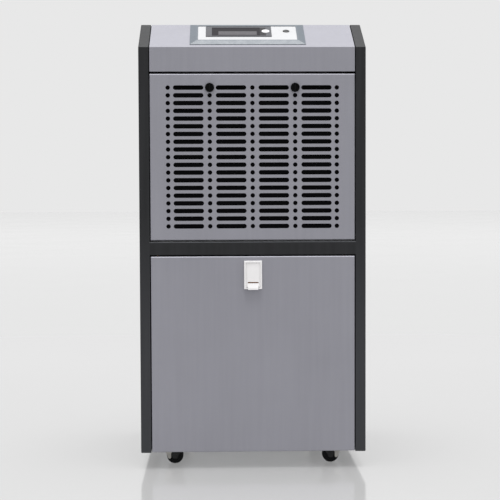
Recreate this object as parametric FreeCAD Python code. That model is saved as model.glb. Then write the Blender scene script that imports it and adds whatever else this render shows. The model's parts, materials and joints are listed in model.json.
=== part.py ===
"""Cabinet dehumidifier on four casters, for commercial rooms.

A sheet-metal cabinet with charcoal side panels holds a cooling coil behind a punched, tilting front
grille, an axial fan that blows out at the back, a compressor low down at the rear, and a removable water
tank behind a tilting front door. The controls sit on a sloping panel at the front of the top cover.

Lengths are millimetres. X is to the right of someone facing the front, Y runs from front to back and Z is
up. The shapes are built with y = 0 on the cabinet's front face, and are moved as they are exported, so that
the origin is on the floor, under the middle of the whole object.
"""
import FreeCAD, Part
import math
import os

V = FreeCAD.Vector
X_AXIS = V(1, 0, 0)
Y_AXIS = V(0, 1, 0)
Z_AXIS = V(0, 0, 1)

# ---------------------------------------------------------------- driving dimensions
WIDTH = 480.0
DEPTH = 430.0
HEIGHT = 956.0
CLEARANCE = 35.0          # floor to the cabinet's lower edge
SHEET = 1.5               # cabinet sheet thickness
POST = 21.5               # width of a side panel's edge, seen from the front
FOLD_RADIUS = 2.0         # outer radius of the front panels' horizontal folds
SEAM = 2.0                # gap between a side panel's edge and the panels between the sides
LIP = 10.5                # inner return of a side panel's edge
TRAY = 15.0               # depth of the front panels' folded edges
SLOPE_FOOT_Z = 895.0      # where the front face meets the sloping control panel
SLOPE_RUN = 109.0         # horizontal run of the slope
FRONT_PROUD = 8.0         # the latch stands this far in front of the front face
REAR_PROUD = 22.0         # the drain spout stands this far behind the rear face
REAR_SHEET_Y = DEPTH - 2 * SHEET
COVER_FLANGE_Z = 916.0    # lower edge of the top cover's rear flange
SKIRT_Z = 44.0            # lower edge of the base pan's skirt, above the brake pedals

FASCIA_BOTTOM = 844.0
GRILLE_TOP = 839.0
GRILLE_BOTTOM = 488.5
CROSSBAR_TOP = 485.0
CROSSBAR_BOTTOM = 456.5
DOOR_TOP = 453.8
DOOR_BOTTOM = 36.0

# punched pattern, shared by the front grille and the rear outlet
ROWS = 19
ROW_PITCH = 16.24
FIRST_ROW_Z = 810.1
COLUMN_PITCH = 90.2
SLOT_LENGTH = 64.2
SLOT_HEIGHT = 9.6
DOT_RADIUS = 4.75
OUTER_DOT_X = 178.4
KNOB_X = COLUMN_PITCH
KNOB_RADIUS = 9.6
STUD_RADIUS = 3.0         # knob's stud

# filter inside the grille
FILTER_HALF_X = 204.0
FILTER_Y = (3.5, 10.5)
FILTER_Z = (502.0, 832.0)

# pivots of the two tilting panels
PIVOT_Y = 6.0
GRILLE_PIVOT_Z = 495.5
DOOR_PIVOT_Z = 45.0
PIVOT_RADIUS = 2.5
RUNNING = 0.05            # radial clearance of a running fit

# finger cups in the side panels
HANDLE_OPENING_Y = (175.0, 305.0)
HANDLE_OPENING_Z = (842.0, 902.0)
HANDLE_DEPTH = 34.0

# screws of the rear panel
FLANGE_SCREW_X = (-180.0, 0.0, 180.0)
SCREW_ROWS_Z = (64.0, 472.0, 923.0)
SCREW_HOLE = 2.1

# latch on the door
LATCH_TOP = 444.3
LATCH_BOTTOM = 384.3
LATCH_HALF = 19.0
LATCH_FACE_Y = -7.0
LATCH_PIVOT = (-1.5, 434.0)
PADDLE_HALF = 14.6
STRIKER_Y = 17.5

# water tank
TANK_HALF_WIDTH = 186.0
TANK_FRONT = 45.0
TANK_BACK = 215.0
TANK_BOTTOM = 105.0
TANK_TOP = 300.0
TANK_WALL = 3.0
BAIL_PIVOT_Y = 130.0
BAIL_PIVOT_Z = 286.0
BAIL_REACH = 80.0
FLOAT_PIVOT = (192.0, 268.0)

# casters
WHEEL_RADIUS = 18.0
WHEEL_WIDTH = 16.0
TRAIL = 14.0
KING_X = 155.5
KING_Y = 62.0
PAN_Z = 52.0              # underside of the base pan, where the casters are bolted
PLATE_HALF = 22.0
PLATE_THICKNESS = 2.5
BOLT_RADIUS = 2.5
BOLT_OFFSET = 16.0
AXLE_RADIUS = 2.5
BRAKE_PIVOT = (TRAIL + 3.0, 39.5)
BRAKE_PIN_RADIUS = 1.6

# fan and coils
FAN_Z = 666.0
FAN_RADIUS = 145.0
SHROUD_Y = 200.0
MOTOR_STRAP_Y = 262.0
COIL_HALF_WIDTH = 165.0
COIL_BOTTOM = 506.0
COIL_TOP = 830.0
EVAPORATOR_Y = (40.0, 88.0)
CONDENSER_Y = (96.0, 144.0)
TUBE_RADIUS = 4.5
TUBE_PITCH = 25.0
TUBE_COUNT = 12
FIRST_TUBE_Z = 530.0
TRAY_FLOOR = CROSSBAR_TOP + SHEET + 2.5     # inside the drip tray

# compressor and its accumulator
COMPRESSOR_X = 95.0
COMPRESSOR_Y = 325.0
COMPRESSOR_RADIUS = 62.0
COMPRESSOR_BASE = PAN_Z + SHEET + 14
COMPRESSOR_TOP = 330.0
ACCUMULATOR = (COMPRESSOR_X - 95, COMPRESSOR_Y)
ACCUMULATOR_TOP = 285.0

# pipes and drain
PIPE_RADIUS = 5.0
PIPE_X = 206.0
PIPE_LEVEL = 400.0        # where the pipes cross the lower compartment
SUCTION_Y = sum(EVAPORATOR_Y) / 2
DISCHARGE_Y = sum(CONDENSER_Y) / 2
LIQUID_X, LIQUID_Y = 195.0, 174.0
NOZZLE = (-150.0, 165.0)
DRAIN = (150.0, 165.0)
DRAIN_Z = 438.0
SPOUT_RADIUS = 8.0
SPOUT_FLANGE = 2.5

# cable gland
GLAND = (150.0, 120.0)
GLAND_BARREL = 9.0

# control panel, in the slope's own frame: x, distance up the slope, height above the slope
BEZEL_X = -9.0
BEZEL_SIZE = (246.0, 110.0)
BEZEL_V = 67.0
CUTOUT_HALF_X = 112.0
CUTOUT_V = (22.0, 112.0)
LABEL_SIZE = (212.0, 78.0)
LABEL_V = 68.0
LABEL_W = (1.6, 3.6)
DISPLAY_X = (-98.0, 43.0)
DISPLAY_V = (47.5, 103.0)
LENS_X = (-85.0, 18.0)
LENS_V = (50.0, 96.0)
LENS_THICKNESS = 1.0
SURROUND_TOP = 5.2
MODE_BUTTON = (30.5, 73.0, 8.6)        # x, distance up the slope, radius
MODE_BUTTON_TOP = 6.8
POWER_BUTTON = (75.0, 79.0, 7.2)
POWER_BUTTON_TOP = 4.6

HALF_WIDTH = WIDTH / 2
INNER_X = HALF_WIDTH - POST                    # inner face of a side panel's edge
PANEL_X = INNER_X - SEAM                       # half width of the panels between the sides
RIDGE_Z = HEIGHT
SLOPE_ANGLE = math.atan2(RIDGE_Z - SLOPE_FOOT_Z, SLOPE_RUN)
Y_FRONT = -(DEPTH + FRONT_PROUD + REAR_PROUD) / 2 + FRONT_PROUD

os.makedirs("parts", exist_ok=True)


# ---------------------------------------------------------------- helpers
def box(x0, x1, y0, y1, z0, z1):
    return Part.makeBox(x1 - x0, y1 - y0, z1 - z0, V(x0, y0, z0))


def rod(start, end, radius):
    start, end = V(*start), V(*end)
    return Part.makeCylinder(radius, (end - start).Length, start, end - start)


def tube(start, end, outer, inner):
    return rod(start, end, outer).cut(rod(start, end, inner))


def prism(points, extrusion):
    corners = [V(*p) for p in points]
    return Part.Face(Part.makePolygon(corners + corners[:1])).extrude(V(*extrusion))


def prism_x(points_yz, x0, x1):
    return prism([(x0, y, z) for y, z in points_yz], (x1 - x0, 0, 0))


def prism_y(points_xz, y0, y1):
    return prism([(x, y0, z) for x, z in points_xz], (0, y1 - y0, 0))


def hexagon_y(x, z, reach, y0, y1):
    angles = [math.radians(60 * i) for i in range(6)]
    return prism_y([(x + reach * math.cos(a), z + reach * math.sin(a)) for a in angles], y0, y1)


def fuse(shapes):
    return shapes[0].multiFuse(shapes[1:]).removeSplitter()


def mirrored(shape):
    return shape.mirror(V(0, 0, 0), X_AXIS)


def both_sides(shape):
    return Part.makeCompound([shape, mirrored(shape)])


def bent_sheet(points_yz, thickness, x0, x1):
    """A folded strip: the polyline is one face, and the thickness lies to its left."""
    points = [V(0, y, z) for y, z in points_yz]
    normals = []
    for a, b in zip(points, points[1:]):
        along = (b - a).normalize()
        normals.append(V(0, -along.z, along.y))
    offset = []
    for i, point in enumerate(points):
        before, after = normals[max(i - 1, 0)], normals[min(i, len(normals) - 1)]
        mitre = before + after
        offset.append(point + mitre * (2 * thickness / mitre.Length ** 2))
    outline = [(p.y, p.z) for p in points + offset[::-1]]
    return prism_x(outline, x0, x1)


def bent_pipe(points, radius, bend):
    """A round pipe of straight runs joined by tangent arcs of one bend radius."""
    corners = [V(*p) for p in points]
    edges = []
    start = corners[0]
    for before, corner, after in zip(corners, corners[1:], corners[2:]):
        into, out = (corner - before).normalize(), (after - corner).normalize()
        turn = into.getAngle(out)
        reach = bend * math.tan(turn / 2)
        arc_start, arc_end = corner - into * reach, corner + out * reach
        middle = corner + (out - into).normalize() * (bend / math.cos(turn / 2) - bend)
        edges.append(Part.LineSegment(start, arc_start).toShape())
        edges.append(Part.Arc(arc_start, middle, arc_end).toShape())
        start = arc_end
    edges.append(Part.LineSegment(start, corners[-1]).toShape())
    path = Part.Wire(edges)
    circle = Part.Wire(Part.makeCircle(radius, corners[0], corners[1] - corners[0]))
    return path.makePipeShell([circle], True, False)


def slot_wire(x, z, length, height, y=0.0):
    """A horizontal slot with round ends, in a plane of constant y."""
    straight = (length - height) / 2
    radius = height / 2
    top, bottom = z + radius, z - radius
    left, right = x - straight, x + straight
    return Part.Wire([
        Part.LineSegment(V(left, y, top), V(right, y, top)).toShape(),
        Part.Arc(V(right, y, top), V(right + radius, y, z), V(right, y, bottom)).toShape(),
        Part.LineSegment(V(right, y, bottom), V(left, y, bottom)).toShape(),
        Part.Arc(V(left, y, bottom), V(left - radius, y, z), V(left, y, top)).toShape(),
    ])


def circle_wire(x, z, radius, y=0.0):
    return Part.Wire(Part.makeCircle(radius, V(x, y, z), Y_AXIS))


def rectangle_wire(x0, x1, z0, z1, y=0.0):
    return Part.makePolygon([V(x0, y, z0), V(x1, y, z0), V(x1, y, z1), V(x0, y, z1), V(x0, y, z0)])


def pierced_sheet(outer, holes, y, thickness):
    """A flat sheet facing the front, from y back through its thickness."""
    face = Part.Face([outer] + holes)
    sheet = face.extrude(V(0, thickness, 0))
    sheet.translate(V(0, y, 0))
    return sheet


def to_slope(shape):
    """Moves a shape from the slope's own frame to the cabinet's."""
    moved = shape.copy()
    moved.Placement = FreeCAD.Placement(
        V(0, 0, SLOPE_FOOT_Z), FreeCAD.Rotation(X_AXIS, math.degrees(SLOPE_ANGLE))
    ).multiply(moved.Placement)
    return moved


def export(name, shape):
    placed = shape.copy()
    placed.translate(V(0, Y_FRONT, 0))
    placed.exportStep("parts/%s.step" % name)


# ---------------------------------------------------------------- cabinet
def side_profile(inset):
    """The cabinet seen from the side, drawn in by inset, as (y, z) corners."""
    slope_cut = inset * math.tan(SLOPE_ANGLE / 2)
    corner_cut = inset * math.tan((math.pi / 2 - SLOPE_ANGLE) / 2)
    return [
        (inset, CLEARANCE + inset),
        (inset, SLOPE_FOOT_Z - corner_cut),
        (SLOPE_RUN + slope_cut, RIDGE_Z - inset),
        (DEPTH - inset, RIDGE_Z - inset),
        (DEPTH - inset, CLEARANCE + inset),
    ]


def side_panel_right():
    """A pressed tray: outer skin, a folded edge all round, and a narrow inner return."""
    shell = prism_x(side_profile(0), INNER_X, HALF_WIDTH)
    rim = [e for e in shell.Edges if all(abs(v.X - HALF_WIDTH) < 0.01 for v in e.Vertexes)]
    shell = shell.makeFillet(2.0, rim)
    hollow = prism_x(side_profile(SHEET), INNER_X + SHEET, HALF_WIDTH - SHEET)
    mouth = prism_x(side_profile(SHEET + LIP), INNER_X - 1, INNER_X + SHEET)
    cup = box(HALF_WIDTH - 5, HALF_WIDTH + 5, *HANDLE_OPENING_Y, *HANDLE_OPENING_Z)
    return shell.cut(hollow).cut(mouth).cut(cup)


def handle_cup_right():
    """A moulded finger cup with a thin flange on the outside of the side panel."""
    y0, y1 = HANDLE_OPENING_Y
    z0, z1 = HANDLE_OPENING_Z
    flange = box(HALF_WIDTH, HALF_WIDTH + 1.2, y0 - 7, y1 + 7, z0 - 7, z1 + 7)
    corners = [e for e in flange.Edges if abs(e.Length - 1.2) < 0.01]
    flange = flange.makeFillet(8.0, corners)
    shell = box(HALF_WIDTH - HANDLE_DEPTH, HALF_WIDTH + 1, y0 + 0.5, y1 - 0.5, z0 + 0.5, z1 - 0.5)
    hollow = box(HALF_WIDTH - HANDLE_DEPTH + 2.5, HALF_WIDTH + 5, y0 + 3, y1 - 3, z0 + 3, z1 - 3)
    along = [e for e in hollow.Edges if abs(e.Vertexes[0].X - e.Vertexes[-1].X) > 10]
    hollow = hollow.makeFillet(10.0, along)
    undercut = box(HALF_WIDTH - HANDLE_DEPTH + 2.5, HALF_WIDTH - 14, y0 + 13, y1 - 13, z1 - 8, z1 + 10)
    bump = box(HALF_WIDTH - HANDLE_DEPTH, HALF_WIDTH - 10, y0 + 8, y1 - 8, z1 - 2, z1 + 13)
    return fuse([flange, shell, bump]).cut(hollow).cut(undercut)


def screw_holes(rows):
    return [rod((x, 380, z), (x, DEPTH + 10, z), SCREW_HOLE) for x in FLANGE_SCREW_X for z in rows]


def base_pan():
    """Floor of the cabinet, with folded edges and holes for the casters, screws and mounts."""
    front, back = 22.0, REAR_SHEET_Y - SHEET
    skin = PAN_Z + SHEET
    floor = box(-INNER_X, INNER_X, front, back, PAN_Z, skin)
    front_skirt = box(-INNER_X, INNER_X, front, front + SHEET, SKIRT_Z, PAN_Z)
    side_skirt = box(INNER_X - SHEET, INNER_X, front, back, SKIRT_Z, PAN_Z)
    rear_flange = box(-INNER_X, INNER_X, back, REAR_SHEET_Y, SKIRT_Z, 76)
    pan = fuse([floor, front_skirt, side_skirt, mirrored(side_skirt), rear_flange])
    holes = screw_holes(SCREW_ROWS_Z[:1])
    for king_x, king_y in king_pins():
        holes.append(rod((king_x, king_y, 40), (king_x, king_y, 60), 8.0))
        for x, y in plate_bolts(king_x, king_y):
            holes.append(rod((x, y, 40), (x, y, 60), BOLT_RADIUS + 0.2))
    return pan.cut(Part.makeCompound(holes))


def top_cover():
    """One folded sheet: fascia, sloping control panel, top and rear flange, with folded side edges."""
    back = DEPTH
    outline = [
        (TRAY, FASCIA_BOTTOM),
        (0, FASCIA_BOTTOM),
        (0, SLOPE_FOOT_Z),
        (SLOPE_RUN, RIDGE_Z),
        (back, RIDGE_Z),
        (back, COVER_FLANGE_Z),
    ]
    skin = bent_sheet(outline[::-1], SHEET, -PANEL_X, PANEL_X)
    if skin.isInside(V(0, -SHEET / 2, 870), 0.01, True):
        skin = bent_sheet(outline, SHEET, -PANEL_X, PANEL_X)
    edge_outline = [
        (SHEET, FASCIA_BOTTOM + SHEET),
        (SHEET, SLOPE_FOOT_Z - 0.9),
        (SLOPE_RUN + 0.4, RIDGE_Z - SHEET),
        (back - SHEET, RIDGE_Z - SHEET),
        (back - SHEET, RIDGE_Z - 12),
        (SLOPE_RUN + 3, RIDGE_Z - 12),
        (12, SLOPE_FOOT_Z - 7),
        (12, FASCIA_BOTTOM + SHEET),
    ]
    edge = prism_x(edge_outline, PANEL_X - SHEET, PANEL_X)
    cover = fuse([skin, edge, mirrored(edge)])
    cutout = to_slope(box(BEZEL_X - CUTOUT_HALF_X, BEZEL_X + CUTOUT_HALF_X, *CUTOUT_V, -10, 10))
    return cover.cut(cutout).cut(Part.makeCompound(screw_holes(SCREW_ROWS_Z[2:])))


def crossbar():
    """Charcoal rail between the grille and the door, with a windowed striker tab for the latch."""
    back = 40.0
    face = box(-INNER_X, INNER_X, 0, SHEET, CROSSBAR_BOTTOM, CROSSBAR_TOP)
    upper = box(-INNER_X, INNER_X, SHEET, back, CROSSBAR_TOP - SHEET, CROSSBAR_TOP)
    lower = box(-INNER_X, INNER_X, SHEET, STRIKER_Y + SHEET, CROSSBAR_BOTTOM, CROSSBAR_BOTTOM + SHEET)
    tab = box(-16, 16, STRIKER_Y, STRIKER_Y + SHEET, 435, CROSSBAR_BOTTOM + SHEET)
    window = box(-8, 8, STRIKER_Y - 1, STRIKER_Y + 4, 440, 450.5)
    bar = fuse([face, upper, lower, tab]).cut(window)
    long_edges = [e for e in bar.Edges if all(v.Y < 0.01 for v in e.Vertexes) and e.Length > 300]
    return bar.makeFillet(FOLD_RADIUS, long_edges)


def upper_rail():
    """Hidden rail behind the grille's top row, with the two sockets that the knobs' studs enter."""
    y = 20.0
    z0, z1 = FIRST_ROW_Z - 12, FIRST_ROW_Z + 18
    web = box(-INNER_X, INNER_X, y, y + SHEET, z0, z1)
    foot = box(-INNER_X, INNER_X, y, y + 14, z1, z1 + SHEET)
    tab = box(INNER_X - SHEET, INNER_X, 4, y + 14, z0, z1)
    sockets = [rod((x, y - 1, FIRST_ROW_Z), (x, y + 5, FIRST_ROW_Z), STUD_RADIUS + 0.9)
               for x in (-KNOB_X, KNOB_X)]
    return fuse([web, foot, tab, mirrored(tab)]).cut(Part.makeCompound(sockets))


def mid_deck():
    """Floor of the air compartment, over the tank and the compressor."""
    z = CROSSBAR_TOP
    front, back = 20.0, REAR_SHEET_Y - SHEET
    floor = box(-INNER_X, INNER_X, front, back, z, z + SHEET)
    flange = box(-INNER_X, INNER_X, back, REAR_SHEET_Y, z - 25, z + SHEET)
    holes = screw_holes(SCREW_ROWS_Z[1:2])
    holes.append(rod((-PIPE_X, SUCTION_Y, z - 5), (-PIPE_X, SUCTION_Y, z + 5), PIPE_RADIUS + 2))
    holes.append(rod((PIPE_X, DISCHARGE_Y, z - 5), (PIPE_X, DISCHARGE_Y, z + 5), PIPE_RADIUS + 2))
    holes += [rod((*outlet, z - 5), (*outlet, z + 5), 12.0) for outlet in (NOZZLE, DRAIN)]
    return fuse([floor, flange]).cut(Part.makeCompound(holes))


def vent_wires(skip_knobs):
    """The punched pattern: four columns of slots with columns of round holes beside and between them."""
    wires = []
    slot_columns = [COLUMN_PITCH * (i - 1.5) for i in range(4)]
    dot_columns = [-OUTER_DOT_X, -COLUMN_PITCH, 0.0, COLUMN_PITCH, OUTER_DOT_X]
    for row in range(ROWS):
        z = FIRST_ROW_Z - row * ROW_PITCH
        for x in slot_columns:
            wires.append(slot_wire(x, z, SLOT_LENGTH, SLOT_HEIGHT))
        for x in dot_columns:
            knob_here = skip_knobs and row == 0 and abs(abs(x) - KNOB_X) < 1
            wires.append(circle_wire(x, z, STUD_RADIUS + RUNNING if knob_here else DOT_RADIUS))
    return wires


def rear_panel():
    """Rear sheet with the outlet pattern, the cable gland's hole and the drain's hole."""
    holes = vent_wires(skip_knobs=False)
    holes.append(circle_wire(*GLAND, GLAND_BARREL + 0.1))
    holes.append(circle_wire(DRAIN[0], DRAIN_Z, 11.1))
    outer = rectangle_wire(-INNER_X, INNER_X, 40, COVER_FLANGE_Z + 16)
    panel = pierced_sheet(outer, holes, REAR_SHEET_Y, SHEET)
    return panel.cut(Part.makeCompound(screw_holes(SCREW_ROWS_Z)))


def cabinet_screws():
    """Pan-head screws that hold the rear panel, all alike."""
    screws = []
    for z in SCREW_ROWS_Z:
        outside = DEPTH if z > COVER_FLANGE_Z else DEPTH - SHEET
        for x in FLANGE_SCREW_X:
            head = Part.makeCone(4.2, 3.0, 2.4, V(x, outside, z), Y_AXIS)
            shank = rod((x, outside - 7, z), (x, outside, z), 1.9)
            recess = box(x - 0.5, x + 0.5, outside + 1.4, outside + 4, z - 2.2, z + 2.2)
            cross = box(x - 2.2, x + 2.2, outside + 1.4, outside + 4, z - 0.5, z + 0.5)
            screws.append(fuse([head, shank]).cut(recess).cut(cross))
    return Part.makeCompound(screws)


def pivot_pins():
    """Shoulder pins on the side panels' inner returns, for the grille and the door to hook over."""
    pins = []
    for z in (GRILLE_PIVOT_Z, DOOR_PIVOT_Z):
        pin = rod((PANEL_X - 5, PIVOT_Y, z), (INNER_X, PIVOT_Y, z), PIVOT_RADIUS)
        pins += [pin, mirrored(pin)]
    return Part.makeCompound(pins)


# ---------------------------------------------------------------- tilting front grille


def panel_tray(z0, z1, pivot_z, sheet):
    """Folds a flat front sheet into a tray, and bores its side edges for the pivot pins."""
    side = box(PANEL_X - SHEET, PANEL_X, SHEET, TRAY, z0, z1)
    top = box(-PANEL_X, PANEL_X, SHEET, TRAY, z1 - SHEET, z1)
    bottom = box(-PANEL_X, PANEL_X, SHEET, TRAY, z0, z0 + SHEET)
    bore = rod((PANEL_X - 5, PIVOT_Y, pivot_z), (PANEL_X + 5, PIVOT_Y, pivot_z), PIVOT_RADIUS + RUNNING)
    tray = fuse([sheet, side.cut(bore), mirrored(side.cut(bore)), top, bottom])
    rim = [e for e in tray.Edges if all(v.Y < 0.01 for v in e.Vertexes) and e.Length > 300]
    return tray.makeFillet(FOLD_RADIUS, rim)


def grille_panel():
    outer = rectangle_wire(-PANEL_X, PANEL_X, GRILLE_BOTTOM, GRILLE_TOP)
    sheet = pierced_sheet(outer, vent_wires(skip_knobs=True), 0, SHEET)
    return panel_tray(GRILLE_BOTTOM, GRILLE_TOP, GRILLE_PIVOT_Z, sheet)


def filter_frame():
    """Plastic frame with two cross ribs, clipped inside the grille tray."""
    z0, z1 = FILTER_Z
    y0, y1 = FILTER_Y
    bar = 9.0
    frame = box(-FILTER_HALF_X, FILTER_HALF_X, y0, y1, z0, z1)
    openings = []
    for i in range(3):
        x0 = -FILTER_HALF_X + bar + i * (2 * FILTER_HALF_X - bar) / 3
        x1 = x0 + (2 * FILTER_HALF_X - bar) / 3 - bar
        openings.append(box(x0, x1, y0 - 1, y1 + 1, z0 + bar, z1 - 34))
    studs = [rod((x, 0, FIRST_ROW_Z), (x, 20, FIRST_ROW_Z), STUD_RADIUS + 2) for x in (-KNOB_X, KNOB_X)]
    pocket = box(-FILTER_HALF_X + 4, FILTER_HALF_X - 4, y0 - 1, y0 + 1.2, z0 + 4, z1 - 30)
    return frame.cut(Part.makeCompound(openings + studs)).cut(pocket)


def filter_mesh():
    z0, z1 = FILTER_Z
    y0 = FILTER_Y[0]
    return box(-FILTER_HALF_X + 4.5, FILTER_HALF_X - 4.5, y0 + 0.2, y0 + 1.0, z0 + 4.5, z1 - 30.5)


def grille_knob(x):
    """Quarter-turn knob: a round grip with a finger bar, and a stud that enters the upper rail."""
    z = FIRST_ROW_Z
    head = rod((x, -5.5, z), (x, -0.2, z), KNOB_RADIUS)
    rim = [e for e in head.Edges if all(v.Y < -5 for v in e.Vertexes) and e.Length > 20]
    head = head.makeFillet(1.4, rim)
    scoop = tube((x, -6.5, z), (x, -2.6, z), KNOB_RADIUS - 2.2, 0.5)
    bar = box(x - 1.6, x + 1.6, -6.6, -2.6, z - KNOB_RADIUS, z + KNOB_RADIUS)
    head = head.cut(scoop.cut(bar))
    stud = rod((x, -1, z), (x, 26, z), STUD_RADIUS)
    tip = Part.makeCone(STUD_RADIUS, STUD_RADIUS - 1.2, 1.5, V(x, 26, z), Y_AXIS)
    return fuse([head, stud, tip])


# ---------------------------------------------------------------- tilting door and its latch


def door_panel():
    sheet = box(-PANEL_X, PANEL_X, 0, SHEET, DOOR_BOTTOM, DOOR_TOP)
    opening = box(-LATCH_HALF + 2, LATCH_HALF - 2, -5, 5, LATCH_BOTTOM + 2, LATCH_TOP - 2)
    return panel_tray(DOOR_BOTTOM, DOOR_TOP, DOOR_PIVOT_Z, sheet.cut(opening))


def latch_housing():
    """White moulded case: a rim on the door's face, a pocket for the paddle and bores for its pins."""
    rim = box(-LATCH_HALF, LATCH_HALF, LATCH_FACE_Y, 0, LATCH_BOTTOM, LATCH_TOP)
    front = [e for e in rim.Edges if all(v.Y < LATCH_FACE_Y + 0.01 for v in e.Vertexes)]
    rim = rim.makeFillet(1.2, front)
    body = box(-LATCH_HALF + 2.2, LATCH_HALF - 2.2, -1, 12, LATCH_BOTTOM + 2.2, LATCH_TOP - 2.2)
    pocket = box(-PADDLE_HALF - 0.4, PADDLE_HALF + 0.4, -20, 6, LATCH_BOTTOM + 3.4, LATCH_TOP - 4)
    mouth = box(-11.5, 11.5, -20, -0.3, LATCH_BOTTOM - 5, LATCH_BOTTOM + 6)
    slot = box(-9, 9, 0, 20, 433, 446)
    y, z = LATCH_PIVOT
    bore = rod((-PADDLE_HALF - 3, y, z), (PADDLE_HALF + 3, y, z), 1.5 + RUNNING)
    return fuse([rim, body]).cut(pocket).cut(mouth).cut(slot).cut(bore)


def latch_paddle():
    """Push plate that pivots near its top; its hook reaches back through the striker's window."""
    top, bottom = LATCH_TOP - 4.6, LATCH_BOTTOM + 4.2
    plate = box(-PADDLE_HALF, PADDLE_HALF, -5.6, -2.4, bottom, top)
    lip_outline = [(-5.6, bottom + 8), (-7.9, bottom - 2), (-7.8, bottom - 5.6), (-5.4, bottom - 5.6),
                   (-4.6, bottom - 1), (-2.4, bottom + 2)]
    lip = prism_x(lip_outline, -11.0, 11.0)
    slit = box(-11.5, 11.5, -9, 0, 396.8, 399.4)
    y, z = LATCH_PIVOT
    barrel = rod((-PADDLE_HALF, y, z), (PADDLE_HALF, y, z), 2.6)
    pins = rod((-PADDLE_HALF - 2.6, y, z), (PADDLE_HALF + 2.6, y, z), 1.5)
    hook_outline = [(y, z - 1.5), (15.5, 436.4), (15.5, 442.4), (22, 442.4), (22, 440.8), (23.4, 440.8),
                    (25, 442.4), (25, 444.6), (13, 444.6), (13, 439.2), (y, z + 2)]
    hook = prism_x(hook_outline, -6, 6)
    return fuse([plate, lip, barrel, pins, hook]).cut(slit)


# ---------------------------------------------------------------- water tank
def tank_shelf():
    """Folded shelf that carries the tank, with side guides and an upright for the float switch."""
    z = TANK_BOTTOM - 2
    half = TANK_HALF_WIDTH + 8
    tread = box(-half, half, 34, 222, z, z + SHEET)
    front = box(-half, half, 34, 34 + SHEET, PAN_Z + SHEET, z)
    rear = box(-half, half, 222 - SHEET, 222, PAN_Z + SHEET, z)
    guide = box(half - SHEET, half, 34, 222, z, z + 22)
    upright = box(120, 170, 222 - SHEET, 222, z, 285)
    return fuse([tread, front, rear, guide, mirrored(guide), upright])


def water_tank():
    """Moulded tank, drawn in towards its base, with a rolled rim and ears for the handle."""
    half, front, back = TANK_HALF_WIDTH, TANK_FRONT, TANK_BACK
    draft = 4.0

    def section(z, inset):
        x, y0, y1 = half - inset, front + inset, back - inset
        return Part.makePolygon([V(-x, y0, z), V(x, y0, z), V(x, y1, z), V(-x, y1, z), V(-x, y0, z)])

    outside = Part.makeLoft([section(TANK_BOTTOM, draft + 4), section(TANK_TOP, 4)], True)
    upright = [e for e in outside.Edges if abs(e.Vertexes[0].Z - e.Vertexes[-1].Z) > 50]
    outside = outside.makeFillet(14.0, upright)
    inside = Part.makeLoft(
        [section(TANK_BOTTOM + TANK_WALL, draft + 4 + TANK_WALL), section(TANK_TOP + 1, 4 + TANK_WALL)], True)
    upright = [e for e in inside.Edges if abs(e.Vertexes[0].Z - e.Vertexes[-1].Z) > 50]
    inside = inside.makeFillet(11.0, upright)
    rim = box(-half, half, front, back, TANK_TOP - 4, TANK_TOP)
    rim = rim.makeFillet(16.0, [e for e in rim.Edges if abs(e.Vertexes[0].Z - e.Vertexes[-1].Z) > 3])
    tank = fuse([outside, rim]).cut(inside)
    boss = rod((half - 10, BAIL_PIVOT_Y, BAIL_PIVOT_Z), (half - 2, BAIL_PIVOT_Y, BAIL_PIVOT_Z), 8.0)
    bearing = rod((-half, BAIL_PIVOT_Y, BAIL_PIVOT_Z), (half, BAIL_PIVOT_Y, BAIL_PIVOT_Z), 3.0 + RUNNING)
    y, z = FLOAT_PIVOT
    lug = box(100, 104, y - 6, back - 6, z - 8, z + 8)
    lugs = [lug, box(144, 148, y - 6, back - 6, z - 8, z + 8)]
    tank = fuse([tank, boss.cut(inside), mirrored(boss.cut(inside))] + lugs)
    float_bore = rod((95, y, z), (153, y, z), 2.0 + RUNNING)
    return tank.cut(bearing).cut(float_bore)


def tank_handle():
    """Wire bail with a moulded grip; it lies forward over the tank until it is lifted."""
    x = TANK_HALF_WIDTH + 1.5
    y, z = BAIL_PIVOT_Y, BAIL_PIVOT_Z
    front = y - BAIL_REACH
    lift = TANK_TOP + 8.3
    bail = bent_pipe([(-x + 14, y, z), (-x - 3, y, z), (-x - 3, y - 22, lift), (-x - 3, front, lift),
                      (x + 3, front, lift), (x + 3, y - 22, lift), (x + 3, y, z), (x - 14, y, z)], 3.0, 6.0)
    grip = tube((-60, front, lift), (60, front, lift), 8.0, 3.0)
    return Part.makeCompound([bail, grip])


def tank_float():
    """Float block on an arm; its magnet rises past the float switch as the tank fills."""
    y, z = FLOAT_PIVOT
    pin = rod((98, y, z), (150, y, z), 2.0)
    hub = rod((106, y, z), (142, y, z), 5.0)
    arm = prism_x([(y - 4, z + 3), (y + 2, z - 5), (y - 42, z - 49), (y - 48, z - 43)], 118, 130)
    block = box(104, 144, y - 78, y - 40, z - 66, z - 42)
    block = block.makeFillet(4.0, block.Edges)
    return fuse([pin, hub, arm, block])


def float_switch():
    """Reed switch in a small sealed case, on the shelf's upright, just behind the tank."""
    case = box(128, 162, 222, 234, 250, 278)
    case = case.makeFillet(2.0, case.Edges)
    boss = rod((145, 232, 240), (145, 232, 252), 4.0)
    return fuse([case, boss])


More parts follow.
